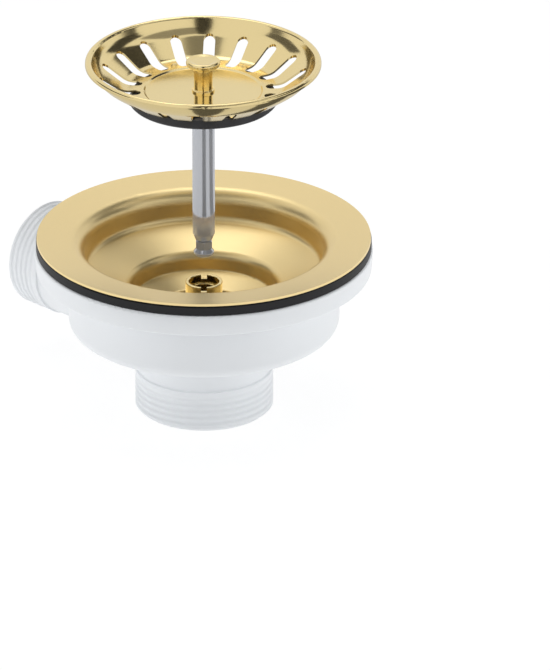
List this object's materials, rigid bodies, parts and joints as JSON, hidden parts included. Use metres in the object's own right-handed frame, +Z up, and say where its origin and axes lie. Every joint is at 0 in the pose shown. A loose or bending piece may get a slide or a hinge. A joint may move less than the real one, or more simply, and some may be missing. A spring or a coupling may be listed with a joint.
{
  "type": "sink waste",
  "caption": "Basket strainer waste for a kitchen sink: pressed flange and bowl on a white body with outlet and side port, and a slotted basket plug that lifts out.",
  "frame": {"origin": "on the waste's axis, in the plane of the outlet's lower end, on which it stands", "axes": "+Z up along the waste's axis, towards the basket plug; -X along the side port, away from the axis"},
  "size_m": [0.1377, 0.1164, 0.129],
  "materials": {
    "white_plastic": "moulded white polypropylene, soft sheen",
    "plain_brass": "turned",
    "black_rubber": "moulded, matt",
    "satin_gold": "brushed stainless steel with a gold coating",
    "polished_gold": "polished stainless steel with a gold coating",
    "seal_rubber": "moulded, smooth",
    "bright_steel": "pressed, bright",
    "chromed_steel": "bright chrome"
  },
  "bodies": {
    "waste": {"body": "white_plastic", "threaded_insert": "plain_brass", "gasket": "black_rubber", "flange_bowl": "satin_gold", "hollow_screw": "polished_gold"},
    "basket_plug": {"basket": "polished_gold", "knob": "polished_gold", "basket_seal": "seal_rubber", "seal_plate": "bright_steel", "spindle": "chromed_steel", "lock_nut": "chromed_steel", "adjusting_screw": "chromed_steel"}
  },
  "joints": [
    {"name": "plug_slide", "type": "slide", "parent": "waste", "child": "basket_plug", "axis": [0, 0, 1], "range_m": [-0.069, 0.012]}
  ]
}
